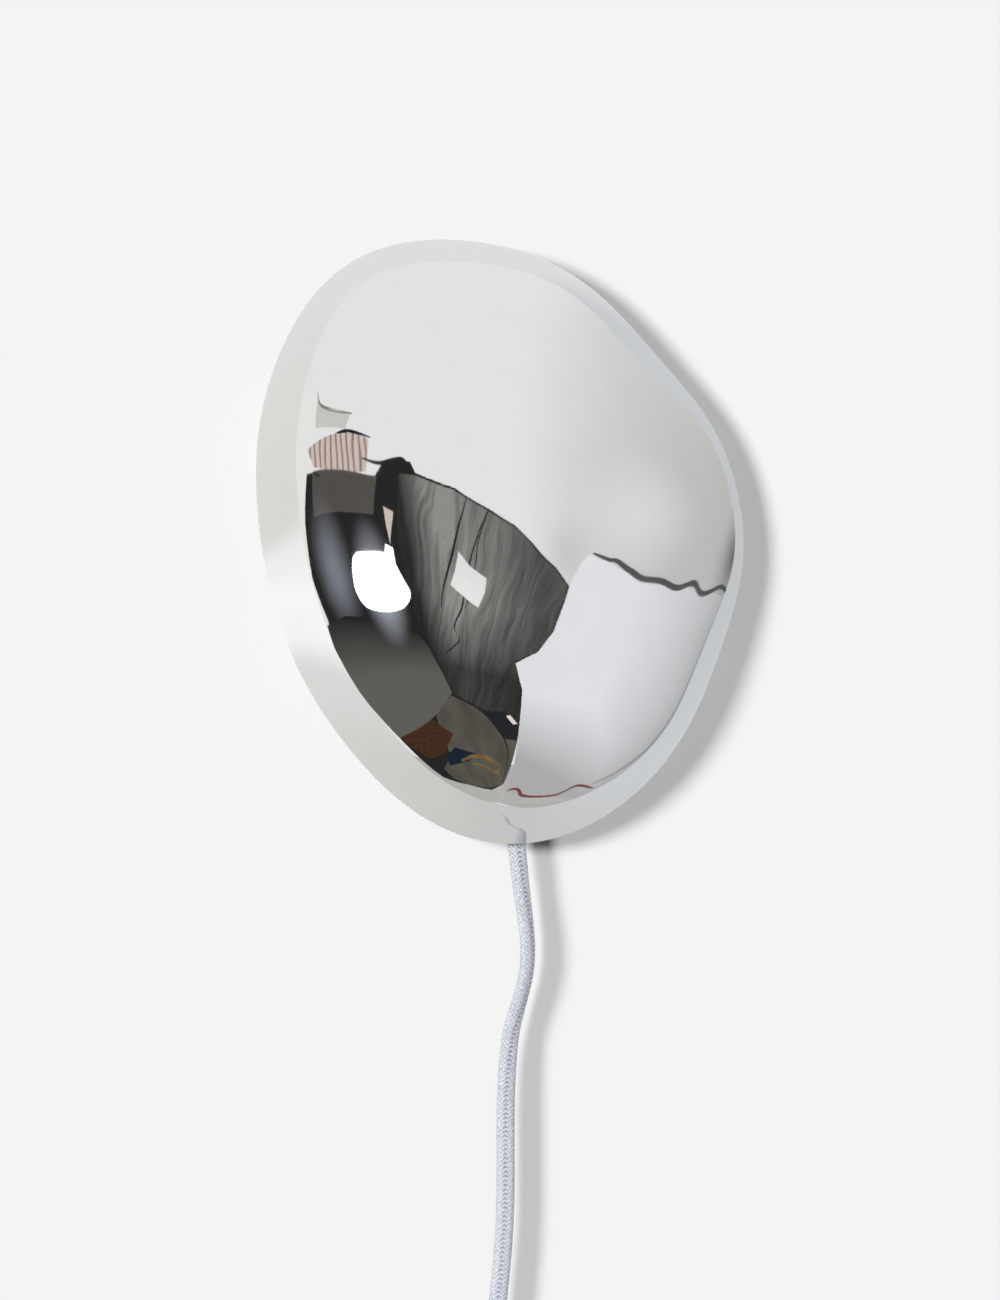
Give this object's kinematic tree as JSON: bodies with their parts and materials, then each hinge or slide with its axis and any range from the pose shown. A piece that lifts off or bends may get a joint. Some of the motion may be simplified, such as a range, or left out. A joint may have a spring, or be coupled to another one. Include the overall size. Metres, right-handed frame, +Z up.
{
  "type": "plug-in wall light",
  "caption": "Wall light with a lopsided mirror-polished dome shade open to the wall, a braided lead, an in-line rocker switch and a plug.",
  "frame": {"origin": "middle of the wall plate's back face, on the wall", "axes": "+Z up, +Y into the wall, so the light stands out towards -Y"},
  "size_m": [0.2013, 0.0738, 0.7003],
  "materials": {
    "mirror_steel": "mirror-polished pressed stainless steel",
    "zinc_steel": "zinc-plated sheet and fasteners",
    "white_enamel": "satin white enamel",
    "ceramic": "unglazed steatite",
    "grey_rubber": "matt pale grey rubber",
    "braid": "herringbone braided fabric over twin flex",
    "pale_plastic": "fine satin moulded plastic",
    "diffuser": "opal diffuser",
    "live_lead": "brown insulation",
    "neutral_lead": "blue insulation",
    "plated_brass": "plated brass"
  },
  "bodies": {
    "wall_side": {"wall_plate": "zinc_steel", "shade_stud_left": "zinc_steel", "shade_stud_right": "zinc_steel", "lamp_bracket": "zinc_steel", "rocker_pin": "zinc_steel", "canopy_screw_left": "zinc_steel", "canopy_screw_right": "zinc_steel", "bracket_screw_left": "zinc_steel", "bracket_screw_right": "zinc_steel", "holder_screw_left": "zinc_steel", "holder_screw_right": "zinc_steel", "switch_screw_upper": "zinc_steel", "switch_screw_lower": "zinc_steel", "canopy": "white_enamel", "lamp_holder": "ceramic", "bumper_left": "grey_rubber", "bumper_right": "grey_rubber", "strain_relief": "grey_rubber", "coil_tie": "grey_rubber", "plug_strain_relief": "grey_rubber", "cord_upper": "braid", "cord_lower": "braid", "cord_tail": "braid", "cord_coil": "braid", "wire_cap_live": "pale_plastic", "wire_cap_neutral": "pale_plastic", "cord_bushing": "pale_plastic", "bushing_nut": "pale_plastic", "switch_base": "pale_plastic", "switch_cover": "pale_plastic", "plug_body": "pale_plastic", "holder_lead_live": "live_lead", "cord_core_live": "live_lead", "holder_lead_neutral": "neutral_lead", "cord_core_neutral": "neutral_lead", "plug_blade_left": "plated_brass", "plug_blade_right": "plated_brass"},
    "shade": {"shade_shell": "mirror_steel", "upper_bar": "zinc_steel", "lower_bar": "zinc_steel", "shade_tab_1": "zinc_steel", "shade_tab_2": "zinc_steel", "shade_tab_3": "zinc_steel", "shade_tab_4": "zinc_steel", "bar_screw_1": "zinc_steel", "bar_screw_2": "zinc_steel", "bar_screw_3": "zinc_steel", "bar_screw_4": "zinc_steel", "bar_nut_1": "zinc_steel", "bar_nut_2": "zinc_steel", "bar_nut_3": "zinc_steel", "bar_nut_4": "zinc_steel"},
    "lamp": {"bulb_base": "pale_plastic", "bulb_cover": "diffuser", "bulb_pin_left": "zinc_steel", "bulb_pin_right": "zinc_steel"},
    "rocker": {"switch_rocker": "pale_plastic"}
  },
  "joints": [
    {"name": "shade_lift", "type": "slide", "parent": "wall_side", "child": "shade", "axis": [0, 0, 1], "range_m": [0, 0.008]},
    {"name": "bulb_pull", "type": "slide", "parent": "wall_side", "child": "lamp", "axis": [0, 0, 1], "range_m": [0, 0.014]},
    {"name": "rocker_tilt", "type": "hinge", "parent": "wall_side", "child": "rocker", "pos_m": [-0.0025, -0.0115, -0.356], "axis": [1, 0, 0], "range_deg": [0, 20]}
  ]
}
